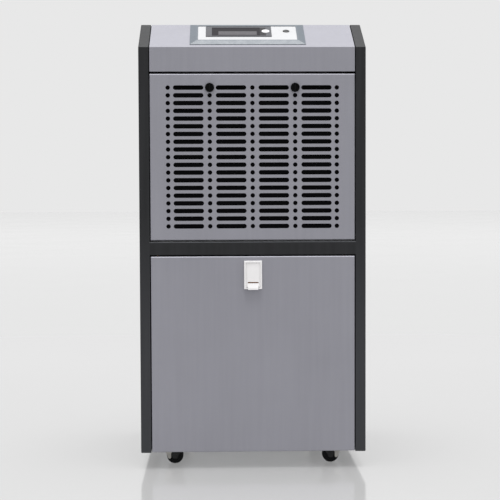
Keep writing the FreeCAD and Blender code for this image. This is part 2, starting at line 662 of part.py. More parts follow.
# ---------------------------------------------------------------- refrigeration
def fin_pack(y0, y1):
    """Fin pack: upright fins on a thin middle web, which stands for the tubes that run through them."""
    pitch, gap, groove = 6.0, 4.9, (y1 - y0) / 2 - 2
    front, back = [], []
    count = int(2 * COIL_HALF_WIDTH / pitch)
    for i in range(count):
        left = -COIL_HALF_WIDTH + i * pitch
        front += [(left, y0), (left + pitch - gap, y0), (left + pitch - gap, y0 + groove),
                  (left + pitch, y0 + groove)]
        back += [(left, y1), (left + pitch - gap, y1), (left + pitch - gap, y1 - groove),
                 (left + pitch, y1 - groove)]
    outline = [V(x, y, COIL_BOTTOM) for x, y in front + back[::-1]]
    return Part.Face(Part.makePolygon(outline + outline[:1])).extrude(V(0, 0, COIL_TOP - COIL_BOTTOM))


def coil_end_plates():
    """Folded end plates that carry both coils and close the compartment's sides."""
    plates = []
    for y0, y1 in (EVAPORATOR_Y, CONDENSER_Y):
        plate = box(COIL_HALF_WIDTH, COIL_HALF_WIDTH + SHEET, y0 - 3, y1 + 3, TRAY_FLOOR, COIL_TOP + 2)
        plates += [plate, mirrored(plate)]
    return Part.makeCompound(plates)


def return_bend(y, z, side):
    """A half-circle bend that joins the tube at z to the next one up, outside an end plate."""
    plate = COIL_HALF_WIDTH + SHEET
    straight = 5.0
    middle_z = z + TUBE_PITCH / 2
    torus = Part.makeTorus(TUBE_PITCH / 2, TUBE_RADIUS, V(plate + straight, y, middle_z), Y_AXIS)
    half = torus.common(box(plate + straight, plate + 40, y - 10, y + 10, z - 10, z + TUBE_PITCH + 10))
    legs = [rod((plate, y, leg_z), (plate + straight, y, leg_z), TUBE_RADIUS)
            for leg_z in (z, z + TUBE_PITCH)]
    bend = fuse([half] + legs)
    return bend if side > 0 else mirrored(bend)


def coil_return_bends():
    bends = []
    for y, closed_side in ((SUCTION_Y, 1), (DISCHARGE_Y, -1)):
        for i in range(TUBE_COUNT - 1):
            side = closed_side if i % 2 == 0 else -closed_side
            bends.append(return_bend(y, FIRST_TUBE_Z + i * TUBE_PITCH, side))
    return Part.makeCompound(bends)


def refrigerant_pipes():
    """Suction, discharge and liquid lines in copper."""
    plate = COIL_HALF_WIDTH + SHEET
    last_tube_z = FIRST_TUBE_Z + (TUBE_COUNT - 1) * TUBE_PITCH
    x, y = ACCUMULATOR
    suction = [(x, y, ACCUMULATOR_TOP), (x, y, PIPE_LEVEL),
               (-PIPE_X, y, PIPE_LEVEL), (-PIPE_X, SUCTION_Y, PIPE_LEVEL),
               (-PIPE_X, SUCTION_Y, last_tube_z), (-plate, SUCTION_Y, last_tube_z)]
    discharge = [(COMPRESSOR_X, COMPRESSOR_Y, COMPRESSOR_TOP), (COMPRESSOR_X, COMPRESSOR_Y, PIPE_LEVEL),
                 (PIPE_X, COMPRESSOR_Y, PIPE_LEVEL), (PIPE_X, DISCHARGE_Y, PIPE_LEVEL),
                 (PIPE_X, DISCHARGE_Y, last_tube_z), (plate, DISCHARGE_Y, last_tube_z)]
    liquid = [(x, y, FIRST_TUBE_Z) for x, y in (
        (plate, DISCHARGE_Y), (LIQUID_X, DISCHARGE_Y), (LIQUID_X, LIQUID_Y), (-LIQUID_X, LIQUID_Y),
        (-LIQUID_X, SUCTION_Y), (-plate, SUCTION_Y))]
    return Part.makeCompound([
        bent_pipe(suction, PIPE_RADIUS, 14.0),
        bent_pipe(discharge, PIPE_RADIUS - 1, 14.0),
        bent_pipe(liquid, 2.5, 7.0),
    ])


def compressor_feet():
    for i in range(3):
        angle = math.radians(90 + 120 * i)
        yield COMPRESSOR_X + 82 * math.cos(angle), COMPRESSOR_Y + 82 * math.sin(angle)


def compressor_body(inset):
    """The shell's solid of revolution, drawn in by inset."""
    r = COMPRESSOR_RADIUS - inset
    bottom = COMPRESSOR_BASE + 3 + inset
    top = COMPRESSOR_TOP - inset
    outline = [
        Part.LineSegment(V(0, 0, bottom), V(r - 14, 0, bottom)),
        Part.Arc(V(r - 14, 0, bottom), V(r - 4, 0, bottom + 4), V(r, 0, bottom + 14)),
        Part.LineSegment(V(r, 0, bottom + 14), V(r, 0, top - 16)),
        Part.Arc(V(r, 0, top - 16), V(r * 0.85, 0, top - 5), V(r * 0.5, 0, top)),
        Part.LineSegment(V(r * 0.5, 0, top), V(0, 0, top)),
        Part.LineSegment(V(0, 0, top), V(0, 0, bottom)),
    ]
    half = Part.Face(Part.Wire([curve.toShape() for curve in outline]))
    body = half.revolve(V(0, 0, 0), Z_AXIS, 360)
    body.translate(V(COMPRESSOR_X, COMPRESSOR_Y, 0))
    return body


def compressor():
    """Hermetic rotary compressor: a can and a cap, welded together, around the motor and pump block."""
    x, y = COMPRESSOR_X, COMPRESSOR_Y
    seam = COMPRESSOR_TOP - 34
    outside, inside = compressor_body(0), compressor_body(4.0)
    above = box(x - 100, x + 100, y - 100, y + 100, seam, COMPRESSOR_TOP + 50)
    feet = []
    for foot_x, foot_y in compressor_feet():
        feet.append(rod((foot_x, foot_y, COMPRESSOR_BASE), (foot_x, foot_y, COMPRESSOR_BASE + 3), 15.0))
        arm = box(0, 82, -14, 14, COMPRESSOR_BASE, COMPRESSOR_BASE + 3)
        arm.rotate(V(0, 0, 0), Z_AXIS, math.degrees(math.atan2(foot_y - y, foot_x - x)))
        arm.translate(V(x, y, 0))
        feet.append(arm)
    holes = [rod((foot_x, foot_y, 50), (foot_x, foot_y, 90), 6.0) for foot_x, foot_y in compressor_feet()]
    can = fuse([outside.cut(above)] + feet).cut(inside).cut(Part.makeCompound(holes))
    terminal_box = box(x - 22, x + 22, y - 20, y + 20, COMPRESSOR_TOP, COMPRESSOR_TOP + 10)
    pipe_hole = rod((x, y, COMPRESSOR_TOP), (x, y, COMPRESSOR_TOP + 30), PIPE_RADIUS - 1)
    cap = fuse([outside.common(above).cut(inside), terminal_box.cut(pipe_hole)])
    block = rod((x, y, 150), (x, y, 240), COMPRESSOR_RADIUS - 4)
    return Part.makeCompound([can, cap, block])


def compressor_grommets():
    grommets = []
    for x, y in compressor_feet():
        z = PAN_Z + SHEET
        foot = rod((x, y, z), (x, y, COMPRESSOR_BASE), 12.0)
        neck = rod((x, y, COMPRESSOR_BASE), (x, y, COMPRESSOR_BASE + 3), 6.0)
        head = rod((x, y, COMPRESSOR_BASE + 3), (x, y, COMPRESSOR_BASE + 7), 10.0)
        groove = tube((x, y, z + 5), (x, y, z + 8), 13.0, 10.0)
        grommets.append(fuse([foot, neck, head]).cut(groove))
    return Part.makeCompound(grommets)


def accumulator():
    """Suction accumulator beside the compressor, with its strap."""
    x, y = ACCUMULATOR
    body = rod((x, y, 150), (x, y, ACCUMULATOR_TOP - 10), 24.0)
    body = body.makeFillet(8.0, [e for e in body.Edges if e.Length > 100])
    neck = rod((x, y, ACCUMULATOR_TOP - 12), (x, y, ACCUMULATOR_TOP), 7.0)
    strap = box(x, COMPRESSOR_X - COMPRESSOR_RADIUS, y - 9, y + 9, 205, 225)
    stub = rod((x, y, 120), (x, y, 152), 6.0)
    elbow = rod((x - 6, y, 126), (COMPRESSOR_X - COMPRESSOR_RADIUS, y, 126), 6.0)
    return fuse([body, neck, strap, stub, elbow])


def drip_tray():
    """Tray under both coils, with a nozzle over the tank and a second one for the rear drain."""
    x, y0, y1 = 176.0, 34.0, 150.0
    z0, z1 = TRAY_FLOOR - 2.5, 503.0
    tray = box(-x, x, y0, y1, z0, z1)
    hollow = box(-x + 2.5, x - 2.5, y0 + 2.5, y1 - 2.5, z0 + 2.5, z1 + 1)
    solids, cuts = [tray], [hollow]
    for (outlet_x, outlet_y), end_z in ((NOZZLE, 425.0), (DRAIN, 466.0)):
        solids.append(box(outlet_x - 16, outlet_x + 16, y1 - 3, outlet_y + 14, z0, z0 + 12))
        cuts.append(box(outlet_x - 10, outlet_x + 10, y1 - 6, outlet_y + 8, z0 + 2.5, z0 + 13))
        solids.append(rod((outlet_x, outlet_y, end_z), (outlet_x, outlet_y, z0 + 1), 10.0))
        cuts.append(rod((outlet_x, outlet_y, end_z - 5), (outlet_x, outlet_y, z0 + 14), 7.5))
    return fuse(solids).cut(Part.makeCompound(cuts))


def drain_spout():
    """Hose tail on the rear panel, for draining straight into a pipe."""
    x, z = DRAIN[0], DRAIN_Z
    outside = DEPTH - SHEET
    tail = rod((x, outside + SPOUT_FLANGE - 1, z), (x, DEPTH + REAR_PROUD, z), SPOUT_RADIUS)
    flange = rod((x, outside, z), (x, outside + SPOUT_FLANGE, z), 15.0)
    inner = rod((x, outside - 16, z), (x, outside + 1, z), SPOUT_RADIUS - 0.5)
    barrel = rod((x, outside - 8, z), (x, outside + 1, z), 11.0)
    nut = hexagon_y(x, z, 15.0, outside - 7, outside - SHEET)
    bore = rod((x, outside - 20, z), (x, DEPTH + 30, z), 5.5)
    return fuse([tail, flange, inner, barrel, nut]).cut(bore)


def drain_pipe():
    """Pipe from the drip tray's second nozzle to the rear spout."""
    x, y = DRAIN
    return bent_pipe([(x, y, 466), (x, y, DRAIN_Z), (x, DEPTH - SHEET - 16, DRAIN_Z)], 6.0, 20.0)


# ---------------------------------------------------------------- fan
def fan_shroud():
    """Plate with a round mouth and a ring around the fan."""
    plate = box(-INNER_X, INNER_X, SHROUD_Y, SHROUD_Y + SHEET, CROSSBAR_TOP + SHEET, FASCIA_BOTTOM - 4)
    ring = tube((0, SHROUD_Y, FAN_Z), (0, SHROUD_Y + 46, FAN_Z), FAN_RADIUS + 7, FAN_RADIUS + 5)
    mouth = rod((0, SHROUD_Y - 5, FAN_Z), (0, SHROUD_Y + 60, FAN_Z), FAN_RADIUS + 5)
    return fuse([plate, ring]).cut(mouth)


def fan_impeller():
    """Five pitched blades on a hub, with the shaft that runs into the motor."""
    hub = rod((0, SHROUD_Y + 6, FAN_Z), (0, SHROUD_Y + 44, FAN_Z), 38.0)
    hub = hub.makeFillet(6.0, [e for e in hub.Edges
                               if e.Length > 200 and e.Vertexes[0].Y < SHROUD_Y + 10])
    shaft = rod((0, SHROUD_Y + 40, FAN_Z), (0, MOTOR_STRAP_Y + 36, FAN_Z), 4.0)
    limit = rod((0, SHROUD_Y, FAN_Z), (0, SHROUD_Y + 60, FAN_Z), FAN_RADIUS)
    blades = []
    for i in range(5):
        blade = box(-36, 36, -1.25, 1.25, 34, FAN_RADIUS + 10)
        blade.rotate(V(0, 0, 0), Z_AXIS, 28)
        blade.translate(V(0, SHROUD_Y + 25, 0))
        blade.rotate(V(0, SHROUD_Y + 25, 0), Y_AXIS, 72 * i)
        blade.translate(V(0, 0, FAN_Z))
        blades.append(blade.common(limit))
    return fuse([hub, shaft] + blades)


def fan_motor():
    y = MOTOR_STRAP_Y + SHEET
    can = rod((0, y, FAN_Z), (0, y + 72, FAN_Z), 44.0)
    can = can.makeFillet(7.0, [e for e in can.Edges if e.Length > 200 and e.Vertexes[0].Y > y + 10])
    flange = rod((0, y, FAN_Z), (0, y + 4, FAN_Z), 50.0)
    boss = rod((0, y - 6, FAN_Z), (0, y + 1, FAN_Z), 12.0)
    bore = rod((0, y - 10, FAN_Z), (0, y + 38, FAN_Z), 4.0 + RUNNING)
    ribs = [tube((0, y + 18 + 8 * i, FAN_Z), (0, y + 21 + 8 * i, FAN_Z), 46.0, 43.0) for i in range(5)]
    return fuse([can, flange, boss] + ribs).cut(bore)


def motor_bracket():
    """Strap behind the fan, from the shroud plate's top to its bottom, with the motor bolted to it."""
    reach = 170.0
    y0, y1 = SHROUD_Y + SHEET, MOTOR_STRAP_Y + SHEET
    arms = []
    for sign in (1, -1):
        z = FAN_Z + sign * (reach - 14)
        arms.append(box(-20, 20, y0, y1, min(z, z + sign * 2), max(z, z + sign * 2)))
        foot_z = (z, FAN_Z + sign * reach)
        arms.append(box(-20, 20, y0, y0 + 2, min(foot_z), max(foot_z)))
    strap = box(-20, 20, MOTOR_STRAP_Y - 0.5, y1, FAN_Z - reach + 14, FAN_Z + reach - 14)
    plate = rod((0, MOTOR_STRAP_Y - 0.5, FAN_Z), (0, y1, FAN_Z), 52.0)
    bore = rod((0, MOTOR_STRAP_Y - 5, FAN_Z), (0, y1 + 5, FAN_Z), 12.2)
    return fuse(arms + [strap, plate]).cut(bore)


# ---------------------------------------------------------------- electrics and controls
def electric_box():
    """Folded box for the electrics, which also roofs the air compartment."""
    outer = box(-190, 190, 150, 420, FASCIA_BOTTOM - 4, 920)
    inner = box(-188.5, 188.5, 151.5, 418.5, FASCIA_BOTTOM - 2.5, 930)
    return outer.cut(inner)


def power_board():
    """Power board with its relay, transformer and capacitor, on the floor of the electric box."""
    z = FASCIA_BOTTOM + 4
    board = box(-120, 60, 190, 330, z, z + 1.6)
    feet = [rod((x, y, FASCIA_BOTTOM - 2.5), (x, y, z + 0.5), 3.5) for x in (-112, 52) for y in (198, 322)]
    transformer = box(-110, -60, 205, 250, z + 1, z + 42)
    relays = [box(-40 + 26 * i, -20 + 26 * i, 205, 222, z + 1, z + 17) for i in range(3)]
    capacitor = rod((-85, 290, z + 1), (-85, 290, z + 50), 17.0)
    terminals = box(-30, 50, 300, 318, z + 1, z + 15)
    return fuse([board, transformer, capacitor, terminals] + feet + relays)


def display_board():
    """Display and switch board under the control panel."""
    board = box(-118, 100, 34, 104, -13.6, -12)
    posts = [rod((x, v, -12.5), (x, v, -5.2), 3.0) for x in (-114, 96) for v in (38, 100)]
    switches = [box(x - 4, x + 4, v - 4, v + 4, -12.2, -8.2) for x, v, _ in (MODE_BUTTON, POWER_BUTTON)]
    module = box(-84, 16, 54, 95, -12.2, -4)
    return to_slope(fuse([board, module] + posts + switches))


def control_bezel():
    """Bevelled frame around the control panel, with a skirt through the top cover."""
    half_x, half_v = BEZEL_SIZE[0] / 2, BEZEL_SIZE[1] / 2
    label_x, label_v = LABEL_SIZE[0] / 2, LABEL_SIZE[1] / 2

    def rectangle(hx, v0, v1, w):
        return Part.makePolygon([V(BEZEL_X - hx, v0, w), V(BEZEL_X + hx, v0, w), V(BEZEL_X + hx, v1, w),
                                 V(BEZEL_X - hx, v1, w), V(BEZEL_X - hx, v0, w)])

    v0, v1 = BEZEL_V - half_v, BEZEL_V + half_v
    top0, top1 = LABEL_V - label_v - 3, LABEL_V + label_v + 3
    foot = rectangle(half_x, v0, v1, 0)
    shoulder = rectangle(half_x, v0, v1, 1.2)
    crown = rectangle(label_x + 3, top0, top1, 4.6)
    frame = fuse([Part.makeLoft([foot, shoulder], True), Part.makeLoft([shoulder, crown], True)])
    skirt = box(BEZEL_X - CUTOUT_HALF_X + 0.5, BEZEL_X + CUTOUT_HALF_X - 0.5, CUTOUT_V[0] + 0.5,
                CUTOUT_V[1] - 0.5, -5.2, 0.5)
    opening = box(BEZEL_X - label_x, BEZEL_X + label_x, LABEL_V - label_v, LABEL_V + label_v, 1.6, 10)
    well = box(BEZEL_X - label_x + 4, BEZEL_X + label_x - 4,
               LABEL_V - label_v + 4, LABEL_V + label_v - 4, -10, 5)
    return to_slope(fuse([frame, skirt]).cut(opening).cut(well))


def control_label():
    """White facing of the control panel, cut out for the display and the power button."""
    half_x, half_v = LABEL_SIZE[0] / 2 - 0.2, LABEL_SIZE[1] / 2 - 0.2
    plate = box(BEZEL_X - half_x, BEZEL_X + half_x, LABEL_V - half_v, LABEL_V + half_v, *LABEL_W)
    display = box(DISPLAY_X[0] + 3, DISPLAY_X[1] - 3, DISPLAY_V[0] + 3, DISPLAY_V[1] - 3, 0, 5)
    x, v, radius = POWER_BUTTON
    hole = Part.makeCylinder(radius + 0.3, 10, V(x, v, 0))
    return to_slope(plate.cut(display).cut(hole))


def display_frame():
    """Grey surround that stands up from the label, with bores for the lens and the mode button."""
    frame = box(*DISPLAY_X, *DISPLAY_V, LABEL_W[1], SURROUND_TOP)
    rim = [e for e in frame.Edges if all(vertex.Z > SURROUND_TOP - 0.1 for vertex in e.Vertexes)]
    frame = frame.makeFillet(0.6, rim)
    skirt = box(DISPLAY_X[0] + 3.3, DISPLAY_X[1] - 3.3, DISPLAY_V[0] + 3.3, DISPLAY_V[1] - 3.3, -2, 4)
    opening = box(*LENS_X, *LENS_V, LABEL_W[1], 10)
    well = box(LENS_X[0] + 2, LENS_X[1] - 2, LENS_V[0] + 2, LENS_V[1] - 2, -5, 5)
    x, v, radius = MODE_BUTTON
    hole = Part.makeCylinder(radius + 0.3, 20, V(x, v, -5))
    return to_slope(fuse([frame, skirt]).cut(opening).cut(well).cut(hole))


def display_lens():
    """Dark lens over the display, a little below its surround."""
    gap = 0.15
    base = LABEL_W[1]
    lens = box(LENS_X[0] + gap, LENS_X[1] - gap, LENS_V[0] + gap, LENS_V[1] - gap,
               base, base + LENS_THICKNESS)
    return to_slope(lens)


def round_button(x, v, radius, top):
    """Push button with a domed cap and a stem that ends just above its switch."""
    cap = Part.makeCylinder(radius, top + 3, V(x, v, -3))
    crown = [e for e in cap.Edges if e.Length > 30 and e.Vertexes[0].Z > top - 0.1]
    cap = cap.makeFillet(0.9, crown)
    stem = Part.makeCylinder(2.5, 4.0, V(x, v, -6.8))
    flange = Part.makeCylinder(radius + 1.6, 1.2, V(x, v, -4.2))
    return to_slope(fuse([cap, stem, flange]))


def cable_gland():
    """Moulded gland for the mains cable, with its nut inside the rear panel."""
    x, z = GLAND
    outside = DEPTH - SHEET
    flange = rod((x, outside, z), (x, outside + 3, z), 13.0)
    nose = Part.makeCone(10.0, 7.5, 14, V(x, outside + 3, z), Y_AXIS)
    barrel = rod((x, outside - 12, z), (x, outside + 1, z), GLAND_BARREL)
    nut = hexagon_y(x, z, 14.0, outside - 8, outside - SHEET)
    bore = rod((x, outside - 20, z), (x, outside + 30, z), 4.5)
    return fuse([flange, nose, barrel, nut]).cut(bore)


# ---------------------------------------------------------------- casters


def king_pins():
    for y in (KING_Y, DEPTH - KING_Y):
        for x in (-KING_X, KING_X):
            yield x, y


def plate_bolts(king_x, king_y):
    for dx in (-BOLT_OFFSET, BOLT_OFFSET):
        for dy in (-BOLT_OFFSET, BOLT_OFFSET):
            yield king_x + dx, king_y + dy


def caster_plates():
    """Top plates, bolted under the base pan."""
    plates = []
    for x, y in king_pins():
        plate = box(x - PLATE_HALF, x + PLATE_HALF, y - PLATE_HALF, y + PLATE_HALF,
                    PAN_Z - PLATE_THICKNESS, PAN_Z)
        plate = plate.makeFillet(5.0, [e for e in plate.Edges if abs(e.Length - PLATE_THICKNESS) < 0.01])
        plate = plate.cut(rod((x, y, 40), (x, y, 60), 5.0 + RUNNING))
        for bolt_x, bolt_y in plate_bolts(x, y):
            plate = plate.cut(rod((bolt_x, bolt_y, 40), (bolt_x, bolt_y, 60), BOLT_RADIUS + 0.2))
        plates.append(plate)
    return Part.makeCompound(plates)


def caster_bolts():
    bolts = []
    for king in king_pins():
        for x, y in plate_bolts(*king):
            shank = rod((x, y, PAN_Z - PLATE_THICKNESS - 1), (x, y, PAN_Z + 8), BOLT_RADIUS)
            head = rod((x, y, PAN_Z - PLATE_THICKNESS - 3), (x, y, PAN_Z - PLATE_THICKNESS), 4.4)
            nut = rod((x, y, PAN_Z + SHEET), (x, y, PAN_Z + SHEET + 4), 4.6)
            bolts.append(fuse([shank, head, nut]))
    return Part.makeCompound(bolts)


def at_caster(shape, king_x, king_y):
    """Places a caster part, drawn trailing along +X from a king pin at the origin."""
    placed = shape.copy() if king_x > 0 else mirrored(shape)
    placed.translate(V(king_x, king_y, 0))
    return placed


def caster_fork():
    """Pressed fork with its king pin, and the axle riveted through its legs."""
    top = PAN_Z - PLATE_THICKNESS - 0.3
    half = WHEEL_WIDTH / 2 + 1.5
    disc = rod((0, 0, top - 4), (0, 0, top), 10.5)
    king = rod((0, 0, top - 1), (0, 0, PAN_Z + 1), 5.0)
    bridge = box(-11, TRAIL + 8, -half - 2, half + 2, top - 6, top - 3.5)
    outline = [(-11, top - 4), (TRAIL + 8, top - 4), (TRAIL + 7, WHEEL_RADIUS), (TRAIL + 4, 11.5),
               (TRAIL - 4, 11.5), (TRAIL - 7, WHEEL_RADIUS)]
    leg = prism_y(outline, half, half + 2)
    other = prism_y(outline, -half - 2, -half)
    fork = fuse([disc, king, bridge, leg, other])
    hole = rod((TRAIL, -20, WHEEL_RADIUS), (TRAIL, 20, WHEEL_RADIUS), AXLE_RADIUS)
    pin_x, pin_z = BRAKE_PIVOT
    pin_hole = rod((pin_x, -20, pin_z), (pin_x, 20, pin_z), BRAKE_PIN_RADIUS + RUNNING)
    axle = rod((TRAIL, -half - 2, WHEEL_RADIUS), (TRAIL, half + 2, WHEEL_RADIUS), AXLE_RADIUS)
    heads = [rod((TRAIL, half + 2, WHEEL_RADIUS), (TRAIL, half + 3, WHEEL_RADIUS), 4.2),
             rod((TRAIL, -half - 3, WHEEL_RADIUS), (TRAIL, -half - 2, WHEEL_RADIUS), 4.2)]
    return Part.makeCompound([fork.cut(hole).cut(pin_hole), fuse([axle] + heads)])


def caster_wheel():
    """Solid wheel with a rounded tread and a dished face on each side."""
    half = WHEEL_WIDTH / 2
    wheel = rod((TRAIL, -half, WHEEL_RADIUS), (TRAIL, half, WHEEL_RADIUS), WHEEL_RADIUS)
    wheel = wheel.makeFillet(3.5, [e for e in wheel.Edges if e.Length > 80])
    dishes = [tube((TRAIL, side * half, WHEEL_RADIUS), (TRAIL, side * (half - 2), WHEEL_RADIUS), 12.0, 6.0)
              for side in (-1, 1)]
    bore = rod((TRAIL, -20, WHEEL_RADIUS), (TRAIL, 20, WHEEL_RADIUS), AXLE_RADIUS + RUNNING)
    return wheel.cut(Part.makeCompound(dishes)).cut(bore)


def caster_brake():
    """Brake pedal: two cheeks outside the fork's legs, joined by a tread beyond the wheel."""
    half = WHEEL_WIDTH / 2 + 1.5 + 2 + 1.3
    x, z = BRAKE_PIVOT
    outline = [(x - 4, z + 2), (x + 5, z + 3), (TRAIL + 19.5, z - 2), (TRAIL + 21.5, 27), (TRAIL + 17, 20),
               (TRAIL + 15.5, 14), (TRAIL + 11.5, 11.5), (TRAIL + 8.6, 14), (TRAIL + 8.6, 24), (x - 4, z - 5)]
    cheeks = [prism_y(outline, half, half + 1.6), prism_y(outline, -half - 1.6, -half)]
    tread = prism_y([(TRAIL + 18, z - 2), (TRAIL + 19.5, z - 2), (TRAIL + 21.5, 27), (TRAIL + 20, 26)],
                    -half, half)
    pin = rod((x, -half - 0.5, z), (x, half + 0.5, z), BRAKE_PIN_RADIUS)
    return fuse(cheeks + [tread, pin])


# ---------------------------------------------------------------- every node, by name
def build():
    right_side = side_panel_right()
    nodes = {
        "side_panel_right": right_side,
        "side_panel_left": mirrored(right_side),
        "handle_cups": both_sides(handle_cup_right()),
        "base_pan": base_pan(),
        "top_cover": top_cover(),
        "crossbar": crossbar(),
        "upper_rail": upper_rail(),
        "mid_deck": mid_deck(),
        "rear_panel": rear_panel(),
        "cabinet_screws": cabinet_screws(),
        "pivot_pins": pivot_pins(),
        "grille_panel": grille_panel(),
        "filter_frame": filter_frame(),
        "filter_mesh": filter_mesh(),
        "grille_knob_left": grille_knob(-KNOB_X),
        "grille_knob_right": grille_knob(KNOB_X),
        "door_panel": door_panel(),
        "latch_housing": latch_housing(),
        "latch_paddle": latch_paddle(),
        "tank_shelf": tank_shelf(),
        "water_tank": water_tank(),
        "tank_handle": tank_handle(),
        "tank_float": tank_float(),
        "float_switch": float_switch(),
        "evaporator_fins": fin_pack(*EVAPORATOR_Y),
        "condenser_fins": fin_pack(*CONDENSER_Y),
        "coil_end_plates": coil_end_plates(),
        "coil_return_bends": coil_return_bends(),
        "refrigerant_pipes": refrigerant_pipes(),
        "compressor": compressor(),
        "compressor_grommets": compressor_grommets(),
        "accumulator": accumulator(),
        "drip_tray": drip_tray(),
        "drain_pipe": drain_pipe(),
        "drain_spout": drain_spout(),
        "fan_shroud": fan_shroud(),
        "fan_impeller": fan_impeller(),
        "fan_motor": fan_motor(),
        "motor_bracket": motor_bracket(),
        "electric_box": electric_box(),
        "circuit_boards": Part.makeCompound([power_board(), display_board()]),
        "control_bezel": control_bezel(),
        "control_label": control_label(),
        "display_frame": display_frame(),
        "display_lens": display_lens(),
        "mode_button": round_button(*MODE_BUTTON, MODE_BUTTON_TOP),
        "power_button": round_button(*POWER_BUTTON, POWER_BUTTON_TOP),
        "cable_gland": cable_gland(),
        "caster_plates": caster_plates(),
        "caster_bolts": caster_bolts(),
    }
    fork, wheel, brake = caster_fork(), caster_wheel(), caster_brake()
    corners = ["front_left", "front_right", "rear_left", "rear_right"]
    for corner, king in zip(corners, king_pins()):
        nodes["caster_fork_" + corner] = at_caster(fork, *king)
        nodes["caster_wheel_" + corner] = at_caster(wheel, *king)
        if corner.startswith("front"):
            nodes["caster_brake_" + corner] = at_caster(brake, *king)
    return nodes


for node_name, node_shape in build().items():
    export(node_name, node_shape)
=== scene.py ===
"""Looks, lights and camera for the cabinet dehumidifier."""
import bpy
import bmesh
import json
import math
from mathutils import Matrix, Vector


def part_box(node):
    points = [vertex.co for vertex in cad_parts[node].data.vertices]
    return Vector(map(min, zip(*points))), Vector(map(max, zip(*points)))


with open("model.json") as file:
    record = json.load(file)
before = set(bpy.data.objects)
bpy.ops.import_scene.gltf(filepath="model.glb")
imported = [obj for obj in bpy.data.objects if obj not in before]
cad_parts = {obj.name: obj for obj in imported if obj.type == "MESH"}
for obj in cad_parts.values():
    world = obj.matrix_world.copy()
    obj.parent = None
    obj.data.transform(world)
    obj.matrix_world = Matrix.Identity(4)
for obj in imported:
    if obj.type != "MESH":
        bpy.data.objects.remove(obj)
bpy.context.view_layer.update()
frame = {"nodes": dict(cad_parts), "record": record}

# the side panels give the front face's y and the top's height; the control panel slopes back from its fold
side_low, side_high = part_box("side_panel_left")
FRONT_Y = side_low.y
SLOPE_FOOT = Vector((0.0, FRONT_Y, 0.895))
SLOPE_DEPTH = 0.109
SLOPE_ANGLE = math.atan2(side_high.z - SLOPE_FOOT.z, SLOPE_DEPTH)

# marks on the control panel, across it and up the slope from its foot
CRYSTAL_BAR = ((-0.071, 0.0560), (0.0115, 0.0765))
DARK_MARGIN = ((0.015, 0.0505), (0.031, 0.0955))
MODE_KEY_CENTRE = (0.0305, 0.073)
KEY_DOT_PITCH = 0.0036
KEY_DOT_RADIUS = 0.0010

# the friction pad in the latch's pocket
PAD_LOW = (-0.0125, FRONT_Y + 0.0035, 0.388)
PAD_HIGH = (0.0125, FRONT_Y + 0.0075, 0.405)

# the heights where a painted highlight starts to pale the charcoal paint towards the floor, and where it is
# palest
LOWER_HIGHLIGHT_STARTS, LOWER_HIGHLIGHT_FULL = 0.55, 0.24
# how far below its top the painted highlight line along a fold starts and ends
FOLD_HIGHLIGHT_FROM, FOLD_HIGHLIGHT_TO = 0.0018, 0.0003


